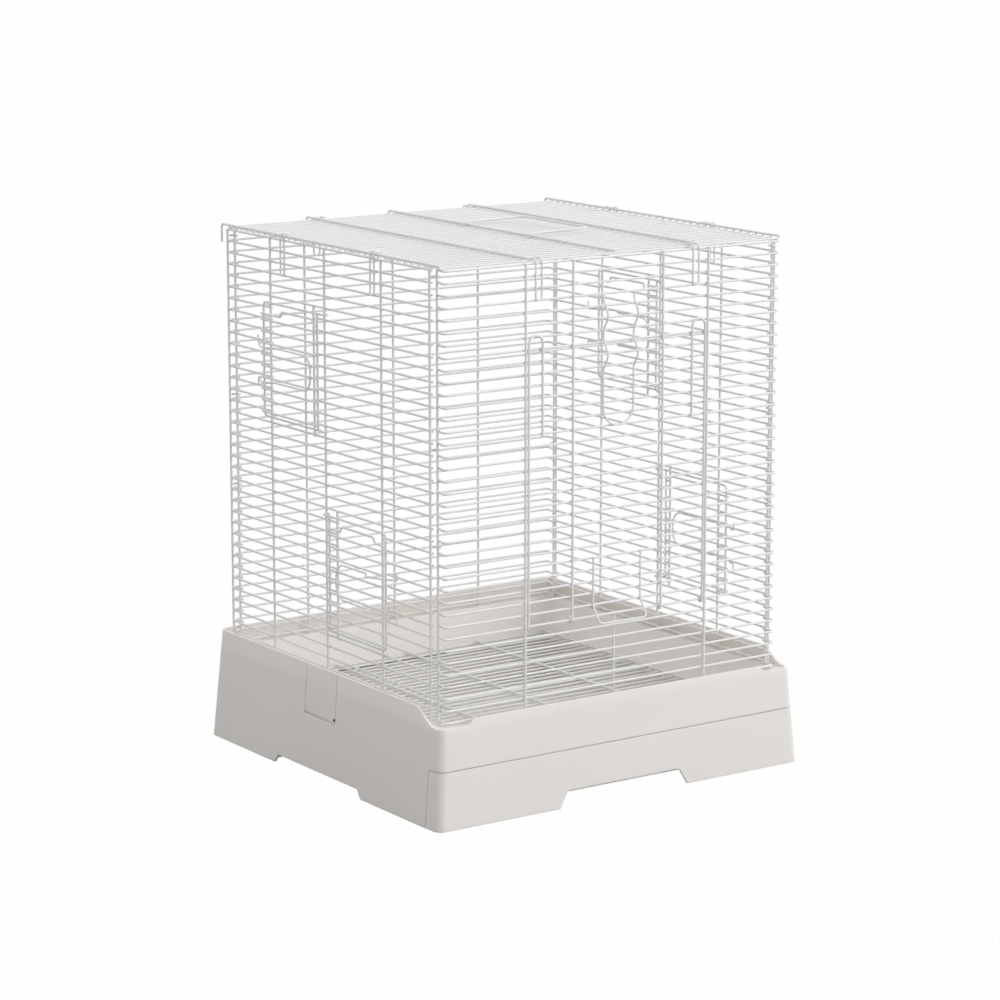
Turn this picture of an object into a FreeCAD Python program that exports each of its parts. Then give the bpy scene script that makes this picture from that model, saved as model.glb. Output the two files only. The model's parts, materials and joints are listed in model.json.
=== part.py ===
"""Parrot cage: welded wire panels on a moulded base with a slide-out drawer.

+X is to the right of the front, the front faces -Y, +Z is up, and the origin lies under the
middle of the base, on the floor. All sizes are millimetres.
"""
import math
import os

import FreeCAD
import Part

V = FreeCAD.Vector

# Wire
row_wire = 2.3             # diameter of the rows
post_wire = 2.5            # diameter of the uprights and cross wires
spring_wire = 2.0          # diameter of the latches, hooks and clips
weld_sink = 0.1            # how far two crossing wires melt into each other
free_gap = 0.35            # air between pieces that move on each other
bend_radius = 4.0          # of a bent wire's centre line

# Cage
row_pitch = 12.0
row_count = 38
cage_width = 417.3         # between the side panels' rows
cage_depth = 406.0         # between the front and back panels' rows
row_lift = 4.0             # the lowest rows over the base's shelf
flange_inset = 6.5         # front and back panels turn back this far inside the side panels
flange_depth = 13.5
flange_flare = 3.9         # and their corners stand this far outside the turned ends
front_post_spread = 111.5  # front and back panels' uprights, from the middle
upper_post_spread = 55.0   # the short ones over the front door
side_panel_shift = 4.0     # the side panels stand a little behind the middle
side_panel_inset = 12.0    # their end uprights, inside the front and back rows
side_post_spread = 105.0

# Front door
door_top_row = 7           # the row over its opening
door_hinge_row = 30        # the row that it turns on
door_half_width = 108.0
door_rail_drop = 2.4       # its top rail under the row over it
loop_width = 16.3          # the turned-over ends of its outer uprights
loop_top = 14.0            # over the row above the door
loop_leg_length = 100.0
bail_half_width = 29.2
bail_top_row_count = 25
bail_bend_row_count = 29
bail_reach = 12.0
bail_drop = 17.0
catch_half_width = 18.5
catch_top_row_count = 3
catch_bottom_row_count = 14
catch_bulge = 9.0
catch_bulge_half = 14.0
catch_bend = 10.0
catch_upper_drop = 57.0    # its two bulges, under the top row
catch_lower_drop = 96.0

# Side doors, told from the panel's middle upright towards the free edge
side_door_first_row = 6    # rows that the upper opening cuts
side_door_last_row = 15
side_door_step = 17        # the lower door hangs this many rows lower
opening_near = 20.8
opening_far = 105.0
side_door_free = 114.7
side_door_inner = 9.9
side_door_corner = 5.0
frame_half_gap = 6.0       # its frame runs midway between rows
step_rise = 5.8            # the stepped row under the frame's top
step_half = 29.0
step_middle = 55.7
step_shift = 10.5          # the doors are one pattern turned round, so the step is off the middle
step_slope = 4.0
latch_top_row_count = 9          # the latch's legs lie inside these two rows
latch_foot_row_count = 12
latch_bow = 23.0           # its closed end, which is off the middle too
latch_shift = 6.4
latch_round = 14.0         # bends of its closed end and of its legs
latch_bend = 5.0
latch_jog_start = 86.0     # where its legs bend out to be pinched
latch_jog_end = 97.0
latch_jog_out = 8.0
latch_over_edge = 117.5    # and come back in over the door's free edge
latch_rest = 126.0
latch_tip = 131.0
latch_tick = 8.0

# Roof
cross_spread = 103.5
hook_stand = 5.0           # the back hooks' air behind the back panel
hook_drop = 19.0
clip_drop = 36.0
front_clip_spread = 96.0
side_clip_spread = 85.0
clip_width = 7.2
clip_reach = 11.0
handle_half_width = 59.0   # carry handle on the middle cross wire
handle_reach = 69.5
handle_rise = 1.4

# Wires curled round others
side_door_curl = 250.0     # degrees of an eye
eye_curl = 260.0
tie_row_counts = (0, 14, 22, 35)  # the corner hooks that tie the panels hang under these rows

# Base
base_side_margin = 18.0    # from the side panels' rows out to the wall's foot
base_front_margin = 19.0   # the same in front and behind
base_corner = 10.0
base_lean = 8.4            # each wall leans in this far over its height
wall = 2.6
wall_rise = 18.0           # the side walls over the shelf
front_rise = 8.5           # the front rim over the shelf
dip_rise = 2.0             # the same rim beside both front corners
dip_reach = 48.65          # how far the dip runs in from the corner
front_dip_slope = 6.0
front_drop_run = 29.0      # the side walls' tops fall to the front rim over this length
front_drop_round = 24.0
shelf_height = 99.0        # the panels stand on it
shelf_thick = 3.0
shelf_reach = 2.0          # it runs this far inside the rows
ledge_rise = 3.0           # the grate's ledge over the drawer's seam
ledge_grip = 4.0           # how much of the grate's edge it carries
ledge_thick = 3.0
liner_gap = 1.5            # between the grate and the sloping inner wall
liner_thick = 3.0
liner_corner = 4.0         # clears the corners of the grate
runner_height = 8.0
runner_width = 29.0
runner_thick = 3.0
side_notch_half = 84.0
side_notch_height = 9.0
side_notch_slope = 7.0
clip_slot_half = 29.0
clip_slot_rise = 4.0       # the slot's foot over the ledge
clip_gap = 0.8
pin_wire = 3.0             # the base clips' pivots
pin_length = 8.0
boss_size = 8.0
over = 10.0                # how far a cutting solid runs past what it cuts

# Drawer
seam_height = 59.0
seam_gap = 0.8
drawer_return = 23.0       # its front wraps the corners this far back from the front's foot
drawer_side_margin = 27.65  # the tray's sides and back, inside the wall's foot
drawer_back_margin = 26.0
drawer_floor = 8.4
drawer_rim_drop = 7.0      # the tray's rim under the seam
drawer_wall = 2.4
finger_half = 80.0
finger_height = 17.0
finger_slope = 10.0

# Floor grate
grate_side_margin = 22.15  # inside the panels' rows
grate_front_margin = 21.0
grate_cross_count = 5

row_r = row_wire / 2
post_r = post_wire / 2
spring_r = spring_wire / 2
half_w = cage_width / 2
half_d = cage_depth / 2
top_row_height = shelf_height + row_lift + (row_count - 1) * row_pitch
roof_row_z = top_row_height + 2 * row_r - weld_sink       # the roof's rows lie on the panels
roof_height = roof_row_z + row_r + post_r - weld_sink     # centre of the cross wires on them
roof_row_count = int(cage_depth / row_pitch) + 1
side_panel_half = half_d - side_panel_inset
base_width = cage_width + 2 * base_side_margin
base_depth = cage_depth + 2 * base_front_margin
base_height = shelf_height + wall_rise
front_rim = shelf_height + front_rise
front_dip = shelf_height + dip_rise
front_dip_start = base_width / 2 - dip_reach
ledge_height = seam_height + ledge_rise
clip_slot_foot = ledge_height + clip_slot_rise
drawer_half_width = base_width / 2 - drawer_side_margin
drawer_back = base_depth / 2 - drawer_back_margin
drawer_rim = seam_height - drawer_rim_drop
grate_half_width = half_w - grate_side_margin
grate_half_depth = half_d - grate_front_margin
post_out = row_r + post_r - weld_sink       # uprights lie on the outside of the rows
post_foot = shelf_height
flange_post_x = half_w - flange_inset + flange_flare * post_r / flange_depth + post_out
flange_post_y = half_d - flange_depth + post_r


def row_z(n):
    """Height of a row, counted down from the top one."""
    return top_row_height - n * row_pitch


def rod(start, end, radius):
    """A straight round wire."""
    return Part.makeCylinder(radius, start.distanceToPoint(end), start, end - start)


def bent_path(points, bend):
    """Edges through the points, each corner turned on its bend radius (one for all, or a list)."""
    bends = bend if isinstance(bend, list) else [bend] * (len(points) - 2)
    edges, start = [], points[0]
    for before, corner, after, radius in zip(points, points[1:], points[2:], bends):
        into = (corner - before).normalize()
        away = (after - corner).normalize()
        half_turn = into.getAngle(away) / 2
        back = radius * math.tan(half_turn)
        middle = corner + (away - into).normalize() * (radius / math.cos(half_turn) - radius)
        first, last = corner - into * back, corner + away * back
        if start.distanceToPoint(first) > weld_sink:
            edges.append(Part.makeLine(start, first))
        edges.append(Part.Arc(first, middle, last).toShape())
        start = last
    if start.distanceToPoint(points[-1]) > weld_sink:
        edges.append(Part.makeLine(start, points[-1]))
    return edges


def sweep(edges, radius):
    """A solid round wire along a chain of edges."""
    first = edges[0]
    begin = first.valueAt(first.FirstParameter)
    ring = Part.makeCircle(radius, begin, first.tangentAt(first.FirstParameter))
    shape = Part.Wire(edges).makePipeShell([Part.Wire(ring)], True, True)
    return shape if shape.Volume > 0 else shape.reversed()


def bent_wire(points, radius, bend=bend_radius):
    """A round wire through the points."""
    return sweep(bent_path(points, bend), radius)


def eye_wire(points, radius, eye_centre, eye_axis, eye_angle, bend=bend_radius):
    """A bent wire whose last point lies beside a pivot, and which curls on round it."""
    tail = points[-1]

    def on_eye(angle):
        return eye_centre + FreeCAD.Rotation(eye_axis, angle).multVec(tail - eye_centre)

    curl = Part.Arc(tail, on_eye(eye_angle / 2), on_eye(eye_angle)).toShape()
    return sweep(bent_path(points, bend) + [curl], radius)


def mirrored(shape):
    """The same piece on the right-hand side."""
    return shape.mirror(V(0, 0, 0), V(1, 0, 0))


def group(shapes):
    return Part.makeCompound(shapes)


# Front and back panels

def flanged_row(facing, z, start=None):
    """A row of the front (-1) or back (+1) panel; with a start, only its left end up to there."""
    face, turned = facing * half_d, half_w - flange_inset
    tail = facing * (half_d - flange_depth)
    corner = turned + flange_flare
    left = [V(-turned, tail, z), V(-corner, face, z)]
    if start is not None:
        return bent_wire(left + [V(start, face, z)], row_r)
    return bent_wire(left + [V(corner, face, z), V(turned, tail, z)], row_r)


def face_posts(facing, spreads, top, foot, side=1):
    """Uprights on a front or back panel, outside (1) or inside (-1) its rows."""
    y = facing * (half_d + side * post_out)
    return [rod(V(x, y, foot), V(x, y, top), post_r) for x in spreads]


def flange_posts(facing):
    """The uprights that close the two flanges, on their outer side."""
    x, y = flange_post_x, facing * flange_post_y
    top = top_row_height + post_r
    return [rod(V(s * x, y, post_foot), V(s * x, y, top), post_r) for s in (-1, 1)]


def front_panel():
    whole = flanged_row(-1, 0)
    part_row = flanged_row(-1, 0, -front_post_spread + post_r)
    pieces = []
    for n in range(row_count):
        lift = V(0, 0, row_z(n))
        if door_top_row < n < door_hinge_row:
            pieces += [part_row.translated(lift), mirrored(part_row).translated(lift)]
        else:
            pieces.append(whole.translated(lift))
    top = top_row_height + post_r
    pieces += face_posts(-1, (-front_post_spread, front_post_spread), top, post_foot)
    pieces += face_posts(-1, (-upper_post_spread, upper_post_spread), top,
                         row_z(door_top_row) - row_r)
    pieces += face_posts(-1, (0,), row_z(door_hinge_row) + post_r, post_foot, side=-1)
    return group(pieces + flange_posts(-1))


def back_panel():
    whole = flanged_row(1, 0)
    pieces = [whole.translated(V(0, 0, row_z(n))) for n in range(row_count)]
    pieces += face_posts(1, (-front_post_spread, 0, front_post_spread),
                         top_row_height + post_r, post_foot)
    return group(pieces + flange_posts(1))


# Side panels: out is away from the cage, along runs to the back from the panel's middle

def left_point(out, along, z):
    return V(-half_w - out, side_panel_shift + along, z)


def left_panel():
    end = side_panel_half + post_r / 2
    pieces = []
    for n in range(row_count):
        spans = [(-end, end)]
        if side_door_first_row <= n <= side_door_last_row:
            spans = [(-end, opening_near - row_r), (opening_far + row_r, end)]
        elif side_door_first_row <= n - side_door_step <= side_door_last_row:
            spans = [(-end, -opening_far - row_r), (-opening_near + row_r, end)]
        pieces += [rod(left_point(0, a, row_z(n)), left_point(0, b, row_z(n)), row_r)
                   for a, b in spans]
    top = top_row_height + post_r
    for along in (-side_panel_half, -side_post_spread, 0, side_post_spread, side_panel_half):
        pieces.append(rod(left_point(post_out, along, post_foot),
                          left_point(post_out, along, top), post_r))
    for along, drop in ((opening_near, 0), (-opening_near, side_door_step)):
        pieces.append(rod(left_point(post_out, along, row_z(side_door_last_row + 1 + drop) - row_r),
                          left_point(post_out, along, row_z(side_door_first_row - 1 + drop) + row_r),
                          post_r))
    return group(pieces)


frame_out = post_out + post_r + free_gap + row_r   # side door's frame clears the uprights
door_row_out = frame_out + 2 * row_r - weld_sink   # its rows are welded outside the frame
eye_reach = frame_out - post_out                   # the frame's ends curl round the upright


def side_door(turn, drop, flip):
    """A left door; turn +1 opens the back half, -1 the front half, drop rows lower.

    A flip of -1 has the stepped row nearer the hinge, +1 nearer the free edge.
    """
    def at(out, along, z):
        return left_point(out, turn * along, z)

    top = row_z(side_door_first_row - 1 + drop) - frame_half_gap
    foot = row_z(side_door_last_row + drop) - frame_half_gap + row_r
    pieces = []
    eye_axis = V(0, 0, turn)
    middle_z = (top + foot) / 2
    for z in (top, foot):
        pieces.append(eye_wire([at(frame_out, side_door_free, middle_z), at(frame_out, side_door_free, z),
                                at(frame_out, 0, z)], row_r, at(post_out, 0, z), eye_axis, side_door_curl,
                               side_door_corner))
    pieces.append(rod(at(frame_out, side_door_inner, foot + row_r - weld_sink),
                      at(frame_out, side_door_inner, top - row_r + weld_sink), row_r))
    ends = (side_door_inner - row_r, side_door_free + row_r)
    for n in range(side_door_first_row + 1, side_door_last_row + 1):
        z = row_z(n + drop)
        pieces.append(rod(at(door_row_out, ends[0], z), at(door_row_out, ends[1], z), row_r))
    low = row_z(side_door_first_row + drop) - frame_half_gap
    centre = step_middle + flip * step_shift
    near, far = centre - step_half, centre + step_half
    pieces.append(bent_wire([at(door_row_out, ends[0], low), at(door_row_out, near - step_slope, low),
                             at(door_row_out, near, low + step_rise),
                             at(door_row_out, far, low + step_rise),
                             at(door_row_out, far + step_slope, low),
                             at(door_row_out, ends[1], low)], row_r, row_wire))
    return group(pieces)


def side_latch(turn, drop, flip, upper):
    """One half of a squeeze latch; the two halves meet in the middle of its closed end."""
    way = 1 if upper else -1
    under = row_r + spring_r + free_gap            # its legs lie under and before two rows
    row = latch_top_row_count if upper else latch_foot_row_count
    leg = row_z(row + drop) - under
    middle = row_z((latch_top_row_count + latch_foot_row_count) / 2 + drop) - under + way * free_gap
    out = door_row_out + under
    bow = latch_bow + flip * latch_shift

    def at(out, along, z):
        return left_point(out, turn * along, z)

    return bent_wire([at(out, bow, middle), at(out, bow, leg),
                      at(out, latch_jog_start, leg), at(out + latch_jog_out, latch_jog_end, leg),
                      at(out, latch_over_edge, leg), at(under, latch_rest, leg),
                      at(under, latch_tip, leg), at(under, latch_tip, leg + way * latch_tick)],
                     spring_r, [latch_round] + [latch_bend] * 4 + [spring_wire])


door_row_y = -half_d - free_gap - weld_sink        # the front door's rows lie before the panel's


def front_door():
    door_out = row_r + free_gap + post_r           # uprights stand off the row they turn on
    y = -half_d - door_out
    hinge_z = row_z(door_hinge_row)
    rail_z = row_z(door_top_row) - door_rail_drop
    eye_axis = V(1, 0, 0)
    pieces = []
    loop_z = row_z(door_top_row) + loop_top
    for s in (-1, 1):
        outer, inner = s * door_half_width, s * (door_half_width - loop_width)
        centre = V(outer, -half_d, hinge_z)
        pieces.append(eye_wire([V(inner, y, loop_z - loop_leg_length), V(inner, y, loop_z),
                                V(outer, y, loop_z), V(outer, y, hinge_z)],
                               post_r, centre, eye_axis, eye_curl, loop_width / 2 - weld_sink))
        x = s * upper_post_spread
        pieces.append(eye_wire([V(x, y, rail_z + row_r), V(x, y, hinge_z)], post_r,
                               V(x, -half_d, hinge_z), eye_axis, eye_curl))
    end = door_half_width + post_r
    heights = [rail_z] + [row_z(n) for n in range(door_top_row + 1, door_hinge_row)]
    pieces += [rod(V(-end, door_row_y, z), V(end, door_row_y, z), row_r) for z in heights]
    return group(pieces)


def front_door_bail():
    y = door_row_y - row_r - spring_r + weld_sink
    top, bend = row_z(bail_top_row_count) + row_r, row_z(bail_bend_row_count)
    foot, out = bend - bail_drop, y - bail_reach
    w = bail_half_width
    return bent_wire([V(-w, y, top), V(-w, y, bend), V(-w, out, foot),
                      V(w, out, foot), V(w, y, bend), V(w, y, top)], spring_r)


def front_door_catch():
    y = door_row_y - row_r - free_gap - spring_r
    out, w = y - catch_bulge, catch_half_width
    top, foot = row_z(catch_top_row_count) - row_r, row_z(catch_bottom_row_count)

    def leg(s):
        places = [V(s * w, y, top)]
        for drop in (catch_upper_drop, catch_lower_drop):
            centre = top_row_height - drop
            places += [V(s * w, y, centre + catch_bulge_half), V(s * w, out, centre),
                       V(s * w, y, centre - catch_bulge_half)]
        return places

    places = leg(-1) + [V(-w, y, foot), V(w, y, foot)] + leg(1)[::-1]
    bends = [catch_bend] * (len(leg(1)) - 1)
    return bent_wire(places, spring_r, bends + [w - weld_sink] * 2 + bends)


# Roof

hook_y = half_d + post_out + 2 * post_r + hook_stand


def roof_panel():
    """Rows under cross wires, whose back ends turn down as hooks behind the back panel."""
    pieces = []
    last = (roof_row_count - 1) / 2
    for k in range(roof_row_count):
        y = (k - last) * row_pitch
        pieces.append(rod(V(-half_w + row_r, y, roof_row_z), V(half_w - row_r, y, roof_row_z), row_r))
    for x in (-half_w, -cross_spread, 0, cross_spread, half_w):
        side = math.copysign(min(abs(x), half_w - post_r), x)
        pieces.append(bent_wire([V(side, -last * row_pitch - row_r, roof_height),
                                 V(side, hook_y, roof_height), V(side, hook_y, roof_height - hook_drop)],
                                post_r))
    return group(pieces)


def roof_clip(place, inward, under):
    """A hairpin welded on a panel's upper rows, its ends turned over a roof wire with that top."""
    across = inward.cross(V(0, 0, 1))
    high = under + free_gap + spring_r
    foot = top_row_height - clip_drop

    def leg(s):
        base = place + across * (s * clip_width / 2)
        return [base + inward * clip_reach + V(0, 0, high), base + V(0, 0, high), base + V(0, 0, foot)]

    return bent_wire(leg(-1) + leg(1)[::-1], spring_r, clip_width / 2 - weld_sink)


def front_roof_clips(facing):
    y = facing * (half_d + row_r + spring_r - weld_sink)
    return group([roof_clip(V(s * front_clip_spread, y, 0), V(0, -facing, 0), roof_row_z + row_r)
                  for s in (-1, 1)])


def left_roof_clips():
    x = -half_w - row_r - spring_r + weld_sink
    return group([roof_clip(V(x, s * side_clip_spread, 0), V(1, 0, 0), roof_height + post_r)
                  for s in (-1, 1)])


def carry_handle():
    """A wire bail whose ends curl round the roof's middle cross wire."""
    reach = post_r + free_gap + post_r
    low, high = roof_height + reach, roof_height + reach + handle_rise
    pieces = []
    middle = V(handle_reach, 0, high)
    for s in (-1, 1):
        y = s * handle_half_width
        pieces.append(eye_wire([middle, V(handle_reach, y, high), V(0, y, low)], post_r,
                               V(0, y, roof_height), V(0, 1, 0), -eye_curl, 2 * bend_radius))
    return pieces[0].fuse(pieces[1]).removeSplitter()


# Corner hooks

def left_hooks(facing):
    """Four wire hooks that tie the left panel's end upright to the flange's upright."""
    post_x, post_y = -flange_post_x, facing * flange_post_y
    stand = post_r + free_gap + spring_r
    start = V(-half_w - post_out, side_panel_shift + facing * side_panel_half, 0)
    near_y, far_y = post_y + stand, post_y - stand
    inner_x = post_x + stand
    pieces = []
    for n in tie_row_counts:
        z = row_z(n) - row_pitch / 2
        begin = V(start.x + post_r + spring_r - weld_sink, start.y, z)
        pieces.append(bent_wire([begin, V(inner_x, near_y, z), V(inner_x, far_y, z),
                                 V(post_x - post_r, far_y, z)], spring_r, spring_wire))
    return group(pieces)


# Base

def rounded_wire(width, depth, corner, z):
    """A rounded rectangle round the Z axis."""
    a, b, c = width / 2, depth / 2, corner
    k = c * (1 - math.sqrt(0.5))
    edges = []
    for sx, sy, swap in ((1, 1, False), (-1, 1, True), (-1, -1, False), (1, -1, True)):
        near, far = V(sx * a, sy * (b - c), z), V(sx * (a - c), sy * b, z)
        ends = (far, near) if swap else (near, far)
        edges.append(Part.Arc(ends[0], V(sx * (a - k), sy * (b - k), z), ends[1]).toShape())
    loop = []
    for this, following in zip(edges, edges[1:] + edges[:1]):
        loop += [this, Part.makeLine(this.valueAt(this.LastParameter),
                                     following.valueAt(following.FirstParameter))]
    return Part.Wire(loop)


def lean_at(z):
    """How far the base's wall has leaned in at a height."""
    return base_lean * z / base_height


def leaning_block(inset, low, high):
    """The base's outer form, set in by a wall, between two heights."""
    wires = []
    for z in (low, high):
        cut = 2 * (lean_at(z) + inset)
        corner = max(base_corner - inset, wall)
        wires.append(rounded_wire(base_width - cut, base_depth - cut, corner, z))
    return Part.makeLoft(wires, True, True)


def box(x0, x1, y0, y1, z0, z1):
    return Part.makeBox(x1 - x0, y1 - y0, z1 - z0, V(x0, y0, z0))


def prism(points, along):
    """A flat outline run along a direction."""
    return Part.Face(Part.makePolygon(points + points[:1])).extrude(along)


def front_rim_cuts():
    """Take the front wall's top down, with a rounded fall and a dip at both front corners."""
    half, front = base_width / 2 + over, -base_depth / 2 - over
    rim_end = -half_d + wall
    flat_start, top_end = rim_end - over, rim_end + front_drop_run
    high = base_height + over
    fall = prism([V(-half, flat_start, front_dip), V(-half, rim_end, front_dip),
                  V(-half, top_end, base_height), V(-half, top_end, high), V(-half, flat_start, high)],
                 V(2 * half, 0, 0))
    soft = [e for e in fall.Edges if abs(e.BoundBox.XLength - 2 * half) < weld_sink
            and abs(e.BoundBox.YMax - rim_end) < weld_sink]
    fall = fall.makeFillet(front_drop_round, soft)
    near, far = front_dip_start, front_dip_start + front_dip_slope
    rim = prism([V(-half, front, front_dip), V(-far, front, front_dip), V(-near, front, front_rim),
                 V(near, front, front_rim), V(far, front, front_dip), V(half, front, front_dip),
                 V(half, front, high), V(-half, front, high)], V(0, flat_start - front, 0))
    soft = [e for e in rim.Edges if e.BoundBox.YLength > over and e.BoundBox.ZMax < high - over / 2
            and abs(e.BoundBox.XMax) < far + weld_sink]
    return [fall, rim.makeFillet(front_dip_slope, soft)]


def side_notches():
    """Low arches under both side walls and the back wall."""
    a, s = side_notch_half, side_notch_slope
    half = base_width / 2 + over
    outline = [V(-half, side_panel_shift - a, -over), V(-half, side_panel_shift - a, 0),
               V(-half, side_panel_shift - a + s, side_notch_height),
               V(-half, side_panel_shift + a - s, side_notch_height),
               V(-half, side_panel_shift + a, 0), V(-half, side_panel_shift + a, -over)]
    left = prism(outline, V(half - drawer_half_width - wall, 0, 0))
    return [left, mirrored(left)]


clip_axis_z = clip_slot_foot + boss_size / 2
clip_axis_x = -base_width / 2 + lean_at(clip_axis_z) + wall + pin_wire / 2


def clip_slot():
    """The slot in the left wall that the base clip fills, open at the top."""
    half = clip_slot_half + clip_gap
    x0 = -base_width / 2 - over
    x1 = clip_axis_x + pin_wire / 2 + wall / 2 + clip_gap
    return box(x0, x1, side_panel_shift - half, side_panel_shift + half, clip_slot_foot - 2 * clip_gap,
               base_height + over)


def clip_bosses():
    """Blocks beside the slot that carry the clip's pivot."""
    bosses = []
    outer = clip_axis_x - pin_wire / 2 - wall
    for s in (-1, 1):
        near = side_panel_shift + s * (clip_slot_half + clip_gap)
        far = near + s * boss_size
        bosses.append(box(outer, outer + boss_size + wall, min(near, far), max(near, far),
                          clip_axis_z - boss_size / 2, clip_axis_z + boss_size / 2))
    return bosses


def clip_bore():
    """The pivot's hole through both bosses."""
    length = 2 * (clip_slot_half + clip_gap + pin_length - clip_gap)
    return Part.makeCylinder(pin_wire / 2 + free_gap, length + 2 * free_gap,
                             V(clip_axis_x, side_panel_shift - length / 2 - free_gap, clip_axis_z),
                             V(0, 1, 0))


def inner_block(inset, low, high):
    """The space inside the sloping inner wall, grown by an inset, with its foot at the grate."""
    foot = (grate_half_width + liner_gap + inset, grate_half_depth + liner_gap + inset)
    top = (half_w - shelf_reach + inset, half_d - shelf_reach + inset)
    wires = []
    for z in (low, high):
        share = (z - ledge_height) / (shelf_height - ledge_height)
        sides = [2 * (a + (b - a) * share) for a, b in zip(foot, top)]
        wires.append(rounded_wire(sides[0], sides[1], liner_corner, z))
    return Part.makeLoft(wires, True, True)


def inner_wall():
    """The shelf under the panels, the slope down to the grate, and the ledge that carries it."""
    low, high = ledge_height - ledge_thick, shelf_height
    shelf = leaning_block(wall - weld_sink, high - shelf_thick, high)
    slope = inner_block(liner_thick, low, high)
    hollow = inner_block(0, ledge_height, high + over)
    hole = box(-grate_half_width + ledge_grip, grate_half_width - ledge_grip, -grate_half_depth + ledge_grip,
               grate_half_depth - ledge_grip, low - over, high)
    return shelf.fuse(slope).cut([hollow, hole])


def base_shell():
    body = leaning_block(0, 0, base_height).cut(leaning_block(wall, -over, base_height + over))
    body = body.fuse(inner_wall())
    runner_end = drawer_back + over / 2
    runner_start = -base_depth / 2 + drawer_return + seam_gap
    runner = box(-base_width / 2 + wall / 2, -base_width / 2 + wall / 2 + runner_width,
                 runner_start, runner_end, runner_height - runner_thick, runner_height)
    runner = runner.common(leaning_block(wall / 2, 0, base_height))
    body = body.fuse([runner, mirrored(runner)])
    slot = clip_slot()
    keep = leaning_block(wall / 2, 0, base_height)
    bosses = [b.common(keep) for b in clip_bosses()]
    body = body.cut([slot, mirrored(slot)])
    body = body.fuse(bosses + [mirrored(b) for b in bosses])
    bore = clip_bore()
    body = body.cut([bore, mirrored(bore)] + front_rim_cuts() + side_notches())
    opening = box(-base_width, base_width, -base_depth, -base_depth / 2 + drawer_return,
                  -over, seam_height)
    hollow = box(-drawer_half_width - free_gap * 2, drawer_half_width + free_gap * 2, -base_depth, 0,
                 runner_height, seam_height - seam_gap)
    return body.cut([opening, hollow]).removeSplitter()


def drawer():
    skin = leaning_block(0, 0, seam_height - seam_gap).cut(leaning_block(wall, -over, base_height))
    front = -base_depth / 2
    skin = skin.common(box(-base_width, base_width, -base_depth, front + drawer_return - seam_gap,
                           -over, seam_height))
    foot, slope = finger_half, finger_slope
    y0, y1 = front - over, front + drawer_return
    grip = prism([V(-foot, y0, -over), V(-foot, y0, 0), V(-foot + slope, y0, finger_height),
                  V(foot - slope, y0, finger_height), V(foot, y0, 0), V(foot, y0, -over)],
                 V(0, y1 - y0, 0))
    corners = [e for e in grip.Edges if abs(e.BoundBox.ZMin - finger_height) < weld_sink
               and abs(e.BoundBox.YLength - (y1 - y0)) < weld_sink]
    grip = grip.makeFillet(finger_slope / 2, corners)
    w, t = drawer_half_width, drawer_wall
    tray = box(-w, w, y1, drawer_back, drawer_floor, drawer_rim)
    tray = tray.cut(box(-w + t, w - t, y1 + t, drawer_back - t, drawer_floor + t, drawer_rim + over))
    cap = box(-w, w, front, y1 + t, drawer_rim - t, drawer_rim)
    cap = cap.common(leaning_block(wall / 2, 0, base_height))
    return skin.cut(grip).fuse([cap, tray]).removeSplitter()


def base_clip():
    """A swing clip that fills the left wall's slot and turns on a pivot inside the wall."""
    half = clip_slot_half
    top = base_height
    foot = clip_slot_foot + 2 * clip_gap           # room for its lower edge to swing
    plate = leaning_block(0, foot, top).cut(leaning_block(wall, foot - over, top + over))
    plate = plate.common(box(-base_width, 0, side_panel_shift - half, side_panel_shift + half, foot, top))
    knuckle = Part.makeCylinder(pin_wire / 2 + wall / 2, 2 * half,
                                V(clip_axis_x, side_panel_shift - half, clip_axis_z), V(0, 1, 0))
    arm = box(clip_axis_x - wall, clip_axis_x, side_panel_shift - half, side_panel_shift + half,
              clip_axis_z - wall / 2, clip_axis_z + wall / 2)
    length = 2 * (half + pin_length - clip_gap)
    pin = Part.makeCylinder(pin_wire / 2, length, V(clip_axis_x, side_panel_shift - length / 2, clip_axis_z),
                            V(0, 1, 0))
    return plate.fuse([knuckle, arm, pin]).removeSplitter()


def floor_grate():
    z = ledge_height + row_r
    pieces = []
    count = int(2 * (grate_half_depth - row_r) / row_pitch)
    for k in range(count + 1):
        y = (k - count / 2) * row_pitch
        pieces.append(rod(V(-grate_half_width, y, z), V(grate_half_width, y, z), row_r))
    cross_z = z + row_r + post_r - weld_sink
    for k in range(grate_cross_count):
        x = (2 * k / (grate_cross_count - 1) - 1) * (grate_half_width - post_wire)
        pieces.append(rod(V(x, -grate_half_depth, cross_z), V(x, grate_half_depth, cross_z), post_r))
    return group(pieces)


def all_nodes():
    nodes = {
        "base_shell": base_shell(), "drawer": drawer(), "floor_grate": floor_grate(),
        "front_panel": front_panel(), "back_panel": back_panel(), "roof_panel": roof_panel(),
        "front_roof_clips": front_roof_clips(-1), "back_roof_clips": front_roof_clips(1),
        "front_door": front_door(), "front_door_bail": front_door_bail(),
        "front_door_catch": front_door_catch(), "carry_handle": carry_handle(),
    }
    left = {
        "{}_panel": left_panel(), "{}_roof_clips": left_roof_clips(),
        "front_{}_hooks": left_hooks(-1), "back_{}_hooks": left_hooks(1),
        "{}_base_clip": base_clip(),
    }
    for name, shape in left.items():
        nodes[name.format("left")] = shape
        nodes[name.format("right")] = mirrored(shape)
    for level, turn, drop in (("upper", 1, 0), ("lower", -1, side_door_step)):
        for side, flip in (("left", -turn), ("right", turn)):
            door = {"door": side_door(turn, drop, flip),
                    "latch_top": side_latch(turn, drop, flip, True),
                    "latch_foot": side_latch(turn, drop, flip, False)}
            for name, shape in door.items():
                shape = shape if side == "left" else mirrored(shape)
                nodes["_".join((level, side, name))] = shape
    return nodes


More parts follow.
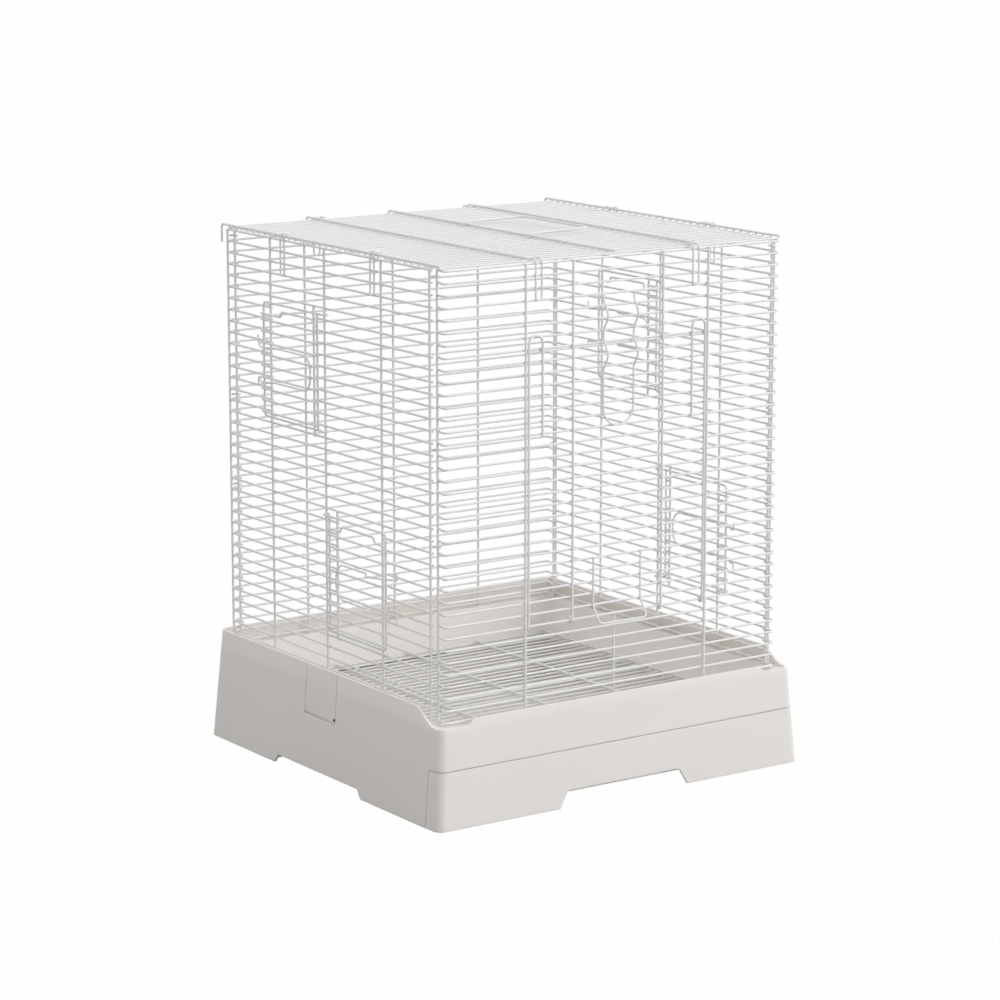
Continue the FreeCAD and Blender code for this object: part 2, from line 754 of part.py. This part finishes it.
os.makedirs("parts", exist_ok=True)
for node, shape in all_nodes().items():
    shape.exportStep("parts/" + node + ".step")
    print(node, len(shape.Solids), "solids", round(shape.Volume), "mm3", shape.isValid())
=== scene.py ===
"""Looks for the parrot cage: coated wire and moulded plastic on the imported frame, seen as in the photo."""
import json
import math

import bmesh
import bpy
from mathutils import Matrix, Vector


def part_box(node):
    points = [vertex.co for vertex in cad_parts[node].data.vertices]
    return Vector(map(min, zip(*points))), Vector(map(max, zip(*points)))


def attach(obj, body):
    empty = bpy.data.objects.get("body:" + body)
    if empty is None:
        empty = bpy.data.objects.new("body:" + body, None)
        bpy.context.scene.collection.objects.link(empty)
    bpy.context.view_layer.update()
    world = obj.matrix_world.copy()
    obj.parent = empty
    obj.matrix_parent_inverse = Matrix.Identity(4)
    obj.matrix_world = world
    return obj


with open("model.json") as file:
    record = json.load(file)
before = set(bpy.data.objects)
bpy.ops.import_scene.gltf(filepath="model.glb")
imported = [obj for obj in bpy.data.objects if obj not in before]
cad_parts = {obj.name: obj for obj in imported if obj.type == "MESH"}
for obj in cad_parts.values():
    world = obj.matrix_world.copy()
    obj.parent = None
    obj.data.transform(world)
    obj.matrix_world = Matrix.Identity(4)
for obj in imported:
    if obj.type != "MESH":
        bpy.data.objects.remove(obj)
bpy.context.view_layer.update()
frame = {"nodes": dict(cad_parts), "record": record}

# The photo's view, fitted to the cage's edges and wire rows
view_azimuth = -34.586         # degrees from the front, as the lamp's
view_elevation = 11.612
view_target = Vector((-0.00035, 0.0, 0.2679))
view_distance = 3.544
lens_share = 3.38525           # focal length over picture width
sensor_width = 36.0            # millimetres

# Coated wire: lengths in metres, noise scales per metre
wire_tone = (0.825, 0.825, 0.82)
wire_tone_low = (0.80, 0.80, 0.795)
coat_drift = 25.0              # the tone's drift along a wire
coat_drift_detail = 3.0
coat_patches = 160.0           # spots of more and less gloss
coat_roughness = (0.30, 0.44)
coat_depth = 0.0015            # how far light spreads under the surface
coat_spread = (1.0, 1.0, 1.0)
coat_layer = 0.2               # the clear film on top
coat_layer_roughness = 0.25
coat_peel = 1400.0             # fine orange peel
coat_peel_strength = 0.25

# Moulded plastic
base_tone = (0.885, 0.845, 0.805)
base_tone_low = (0.865, 0.825, 0.785)
flow_marks = 7.0               # slow drift of the tone
flow_detail = 4.0
flow_roughness = 0.6
plastic_patches = 45.0
plastic_patch_detail = 3.0
plastic_roughness = (0.40, 0.52)
plastic_specular = 0.4
plastic_depth = 0.004
plastic_spread = (1.0, 0.95, 0.85)
spark = 2600.0                 # fine texture of the mould
spark_detail = 1.0
spark_strength = 0.18

# Both finishes
scatter_share = 0.6            # how much of the light goes under the surface
grain_height = 0.0001
noise_low, noise_high = 0.3, 0.7  # most of a noise lies between these

# Edges
crease_angle = math.radians(40)  # sharper edges stay sharp
edge_round = 0.0005            # soft moulded edges
edge_steps = 2
edge_angle = math.radians(30)  # sharper edges are rounded
flat_weight = 100              # large faces rule the shading
weld_reach = 1e-5              # joins the corners that the frame's faces share

# Dark domes in the base clips, whose near-black colour is painted shade for the small hole at each clip's
# lower front corner
stud_radius = 0.0016
stud_rise = 0.0011             # a head's dome over the clip's outermost edge
stud_rim = 0.0003              # the straight rim under the dome
stud_depth = 0.0010            # the shank in the clip's plate
stud_in = 0.0082               # from the clip's front end
stud_up = 0.0018               # over the clip's foot
stud_turns = 24                # faces round a head
dome_steps = 5
stud_weld = 1e-6               # joins a turned outline's ends
# painted shade: near black, standing in for the shade inside each clip's small hole
painted_hole_shade_tone = (0.045, 0.04, 0.035)
painted_hole_shade_tone_low = (0.03, 0.027, 0.024)

# Stage
sky_level = 0.26               # the world's light at the horizon
sky_overhead = 1.24
floor_radius = 60.0
floor_sides = 96
floor_tone = 0.35              # what the floor throws back on the cage
floor_roughness = 0.9
floor_white = 0.99             # how much of the floor's picture is white, and the rest keeps the shadow
key_azimuth, key_elevation = 36, 16
key_distance = 8.0
key_size = 4.8
key_power = 262


def view_direction(azimuth, elevation):
    """Unit vector from the target towards a place at these angles in degrees."""
    turn, rise = math.radians(azimuth), math.radians(elevation)
    level = math.cos(rise)
    return Vector((math.sin(turn) * level, -math.cos(turn) * level, math.sin(rise)))


# Materials

def new_material(name):
    material = bpy.data.materials.new(name)
    material.use_nodes = True
    tree = material.node_tree
    shader = tree.nodes["Principled BSDF"]
    return material, tree, shader


def place_noise(tree, scale, detail=2.0, roughness=0.5):
    """A noise that sticks to the object."""
    spot = tree.nodes.new("ShaderNodeTexCoord")
    noise = tree.nodes.new("ShaderNodeTexNoise")
    noise.inputs["Scale"].default_value = scale
    noise.inputs["Detail"].default_value = detail
    noise.inputs["Roughness"].default_value = roughness
    tree.links.new(spot.outputs["Object"], noise.inputs["Vector"])
    return noise.outputs["Fac"]


def spread(tree, value, low=0.0, high=1.0):
    """Maps a noise to a range."""
    node = tree.nodes.new("ShaderNodeMapRange")
    node.inputs["From Min"].default_value = noise_low
    node.inputs["From Max"].default_value = noise_high
    node.inputs["To Min"].default_value = low
    node.inputs["To Max"].default_value = high
    tree.links.new(value, node.inputs["Value"])
    return node.outputs["Result"]


def two_tones(tree, shader, value, first, second):
    """A colour that drifts between two tones."""
    node = tree.nodes.new("ShaderNodeMix")
    node.data_type = "RGBA"
    node.inputs["A"].default_value = (*first, 1)
    node.inputs["B"].default_value = (*second, 1)
    tree.links.new(value, node.inputs["Factor"])
    tree.links.new(node.outputs["Result"], shader.inputs["Base Color"])


def soften(shader, depth, radius):
    """Lets light spread under the surface."""
    shader.inputs["Subsurface Weight"].default_value = scatter_share
    shader.inputs["Subsurface Radius"].default_value = radius
    shader.inputs["Subsurface Scale"].default_value = depth


def grain(tree, shader, height, strength):
    """A fine roughness that is felt more than seen."""
    bump = tree.nodes.new("ShaderNodeBump")
    bump.inputs["Strength"].default_value = strength
    bump.inputs["Distance"].default_value = grain_height
    tree.links.new(height, bump.inputs["Height"])
    tree.links.new(bump.outputs["Normal"], shader.inputs["Normal"])


def coated_wire(name, tone, low):
    """Baked powder coat on steel wire: even, faintly uneven in gloss, with a fine orange peel."""
    material, tree, shader = new_material(name)
    two_tones(tree, shader, spread(tree, place_noise(tree, coat_drift, coat_drift_detail)), low, tone)
    gloss = spread(tree, place_noise(tree, coat_patches), *coat_roughness)
    tree.links.new(gloss, shader.inputs["Roughness"])
    soften(shader, coat_depth, coat_spread)
    shader.inputs["Coat Weight"].default_value = coat_layer
    shader.inputs["Coat Roughness"].default_value = coat_layer_roughness
    grain(tree, shader, place_noise(tree, coat_peel), coat_peel_strength)
    return material


def moulded_plastic(name, tone, low):
    """Satin injection-moulded plastic with a fine spark texture and slow flow marks."""
    material, tree, shader = new_material(name)
    flow = place_noise(tree, flow_marks, flow_detail, flow_roughness)
    two_tones(tree, shader, spread(tree, flow), low, tone)
    gloss = spread(tree, place_noise(tree, plastic_patches, plastic_patch_detail), *plastic_roughness)
    tree.links.new(gloss, shader.inputs["Roughness"])
    soften(shader, plastic_depth, plastic_spread)
    shader.inputs["Specular IOR Level"].default_value = plastic_specular
    grain(tree, shader, place_noise(tree, spark, spark_detail), spark_strength)
    return material


# the stud finish is painted shade, near black for the shade in the clips' holes
finishes = {"painted_shade_stud": coated_wire("painted_shade_stud", painted_hole_shade_tone, painted_hole_shade_tone_low)}
for slot in ("panel_wire", "door_wire", "spring_wire"):
    finishes[slot] = coated_wire(slot, wire_tone, wire_tone_low)
for slot in ("base_plastic", "drawer_plastic", "clip_plastic"):
    finishes[slot] = moulded_plastic(slot, base_tone, base_tone_low)


# Dressing the frame's own nodes

def dress(node, slot):
    """Gives a node its finish and round shading, with soft edges on plastic and creases on wire."""
    piece = frame["nodes"][node]
    piece.data.materials.clear()
    piece.data.materials.append(finishes[slot])
    piece.data.shade_smooth()
    weld = piece.modifiers.new("weld", "WELD")
    weld.merge_threshold = weld_reach
    if slot.endswith("plastic"):
        bevel = piece.modifiers.new("edges", "BEVEL")
        bevel.width = edge_round
        bevel.segments = edge_steps
        bevel.limit_method = "ANGLE"
        bevel.angle_limit = edge_angle
        flat = piece.modifiers.new("flats", "WEIGHTED_NORMAL")
        flat.weight = flat_weight
        flat.keep_sharp = False
    else:
        crease = piece.modifiers.new("creases", "EDGE_SPLIT")
        crease.split_angle = crease_angle


for part in frame["record"]["subparts"]:
    dress(part["node"], part["material_slot"])


# A dark dome in the lower front corner of each base clip, its near-black colour painted shade for the small
# hole there

def painted_shade_dome():
    """A low dome with a straight rim, on a narrower shank, turned about the X axis."""
    shank = stud_radius - stud_rim
    outline = [(-stud_depth, 0.0), (-stud_depth, shank), (-stud_rim, shank), (-stud_rim, stud_radius)]
    for step in range(dome_steps + 1):
        turn = step / dome_steps * math.pi / 2
        outline.append((stud_rise * math.sin(turn), stud_radius * math.cos(turn)))
    form = bmesh.new()
    points = [form.verts.new((along, across, 0.0)) for along, across in outline]
    edges = [form.edges.new(pair) for pair in zip(points, points[1:])]
    bmesh.ops.spin(form, geom=points + edges, cent=(0, 0, 0), axis=(1, 0, 0),
                   angle=math.tau, steps=stud_turns)
    bmesh.ops.remove_doubles(form, verts=form.verts, dist=stud_weld)
    bmesh.ops.recalc_face_normals(form, faces=form.faces)
    mesh = bpy.data.meshes.new("painted_shade_dome")
    form.to_mesh(mesh)
    form.free()
    mesh.shade_smooth()
    mesh.set_sharp_from_angle(angle=crease_angle)
    # painted shade: the near-black finish stands for the hole's shade
    mesh.materials.append(finishes["painted_shade_stud"])
    return mesh


def painted_shade_stud(name, clip):
    """A dark dome in the clip's plate, turned to the clip's outer side; its near-black colour is painted
    shade for the hole there.
    """
    low, high = (Vector(corner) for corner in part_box(clip))
    piece = bpy.data.objects.new(name, painted_shade_dome())
    bpy.context.scene.collection.objects.link(piece)
    on_left = abs(low.x) > abs(high.x)
    piece.location = (low.x if on_left else high.x, low.y + stud_in, low.z + stud_up)
    if on_left:
        piece.rotation_euler.z = math.pi
    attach(piece, clip)


for clip in ("left_base_clip", "right_base_clip"):
    painted_shade_stud(clip + "_painted_shade_stud", clip)


# Stage

def seen_directly(tree):
    """1 for rays that show the background: camera, mirror and see-through rays."""
    path = tree.nodes.new("ShaderNodeLightPath")
    total = path.outputs["Is Camera Ray"]
    for name in ("Is Glossy Ray", "Is Transmission Ray"):
        both = tree.nodes.new("ShaderNodeMath")
        both.operation = "MAXIMUM"
        tree.links.new(total, both.inputs[0])
        tree.links.new(path.outputs[name], both.inputs[1])
        total = both.outputs[0]
    return total


def make_world():
    """White to look at, and a soft light on the object that grows from the horizon upwards."""
    world = bpy.data.worlds.new("studio")
    bpy.context.scene.world = world
    world.use_nodes = True
    tree = world.node_tree
    back = tree.nodes["Background"]
    way = tree.nodes.new("ShaderNodeTexCoord")
    parts = tree.nodes.new("ShaderNodeSeparateXYZ")
    height = tree.nodes.new("ShaderNodeMapRange")
    height.inputs["To Min"].default_value = sky_level
    height.inputs["To Max"].default_value = sky_overhead
    white = tree.nodes.new("ShaderNodeMix")
    white.inputs["B"].default_value = 1.0
    tree.links.new(way.outputs["Generated"], parts.inputs["Vector"])
    tree.links.new(parts.outputs["Z"], height.inputs["Value"])
    tree.links.new(height.outputs["Result"], white.inputs["A"])
    tree.links.new(seen_directly(tree), white.inputs["Factor"])
    tree.links.new(white.outputs["Result"], back.inputs["Strength"])
    back.inputs["Color"].default_value = (1, 1, 1, 1)


def make_floor():
    """A wide pale floor that keeps a faint shadow."""
    bpy.ops.mesh.primitive_circle_add(vertices=floor_sides, radius=floor_radius, fill_type="NGON")
    floor = bpy.context.object
    floor.name = "floor"
    material, tree, shader = new_material("floor")
    shader.inputs["Base Color"].default_value = (floor_tone, floor_tone, floor_tone, 1)
    shader.inputs["Roughness"].default_value = floor_roughness
    shader.inputs["Specular IOR Level"].default_value = 0.0
    glow = tree.nodes.new("ShaderNodeEmission")
    mix = tree.nodes.new("ShaderNodeMixShader")
    share = tree.nodes.new("ShaderNodeMath")
    share.operation = "MULTIPLY"
    share.inputs[1].default_value = floor_white
    tree.links.new(seen_directly(tree), share.inputs[0])
    tree.links.new(share.outputs[0], mix.inputs["Fac"])
    tree.links.new(shader.outputs["BSDF"], mix.inputs[1])
    tree.links.new(glow.outputs["Emission"], mix.inputs[2])
    tree.links.new(mix.outputs["Shader"], tree.nodes["Material Output"].inputs["Surface"])
    floor.data.materials.append(material)


def aim(name, data, azimuth, elevation, distance):
    """Puts a lamp or a camera at these angles, looking at the view's target."""
    piece = bpy.data.objects.new(name, data)
    bpy.context.scene.collection.objects.link(piece)
    towards = view_direction(azimuth, elevation)
    piece.location = view_target + towards * distance
    piece.rotation_euler = towards.to_track_quat("Z", "Y").to_euler()
    return piece


def make_lamp():
    """One soft square lamp to the front right."""
    lamp = bpy.data.lights.new("key", "AREA")
    lamp.size = key_size
    lamp.energy = key_power
    aim("key", lamp, key_azimuth, key_elevation, key_distance)


def make_camera():
    """The photo's camera, which sees past the floor's far edge."""
    camera = bpy.data.cameras.new("camera")
    camera.sensor_width = sensor_width
    camera.lens = lens_share * sensor_width
    camera.clip_end = 4 * floor_radius
    bpy.context.scene.camera = aim("camera", camera, view_azimuth, view_elevation, view_distance)


make_world()
make_floor()
make_lamp()
make_camera()
bpy.context.scene.view_settings.view_transform = "Standard"
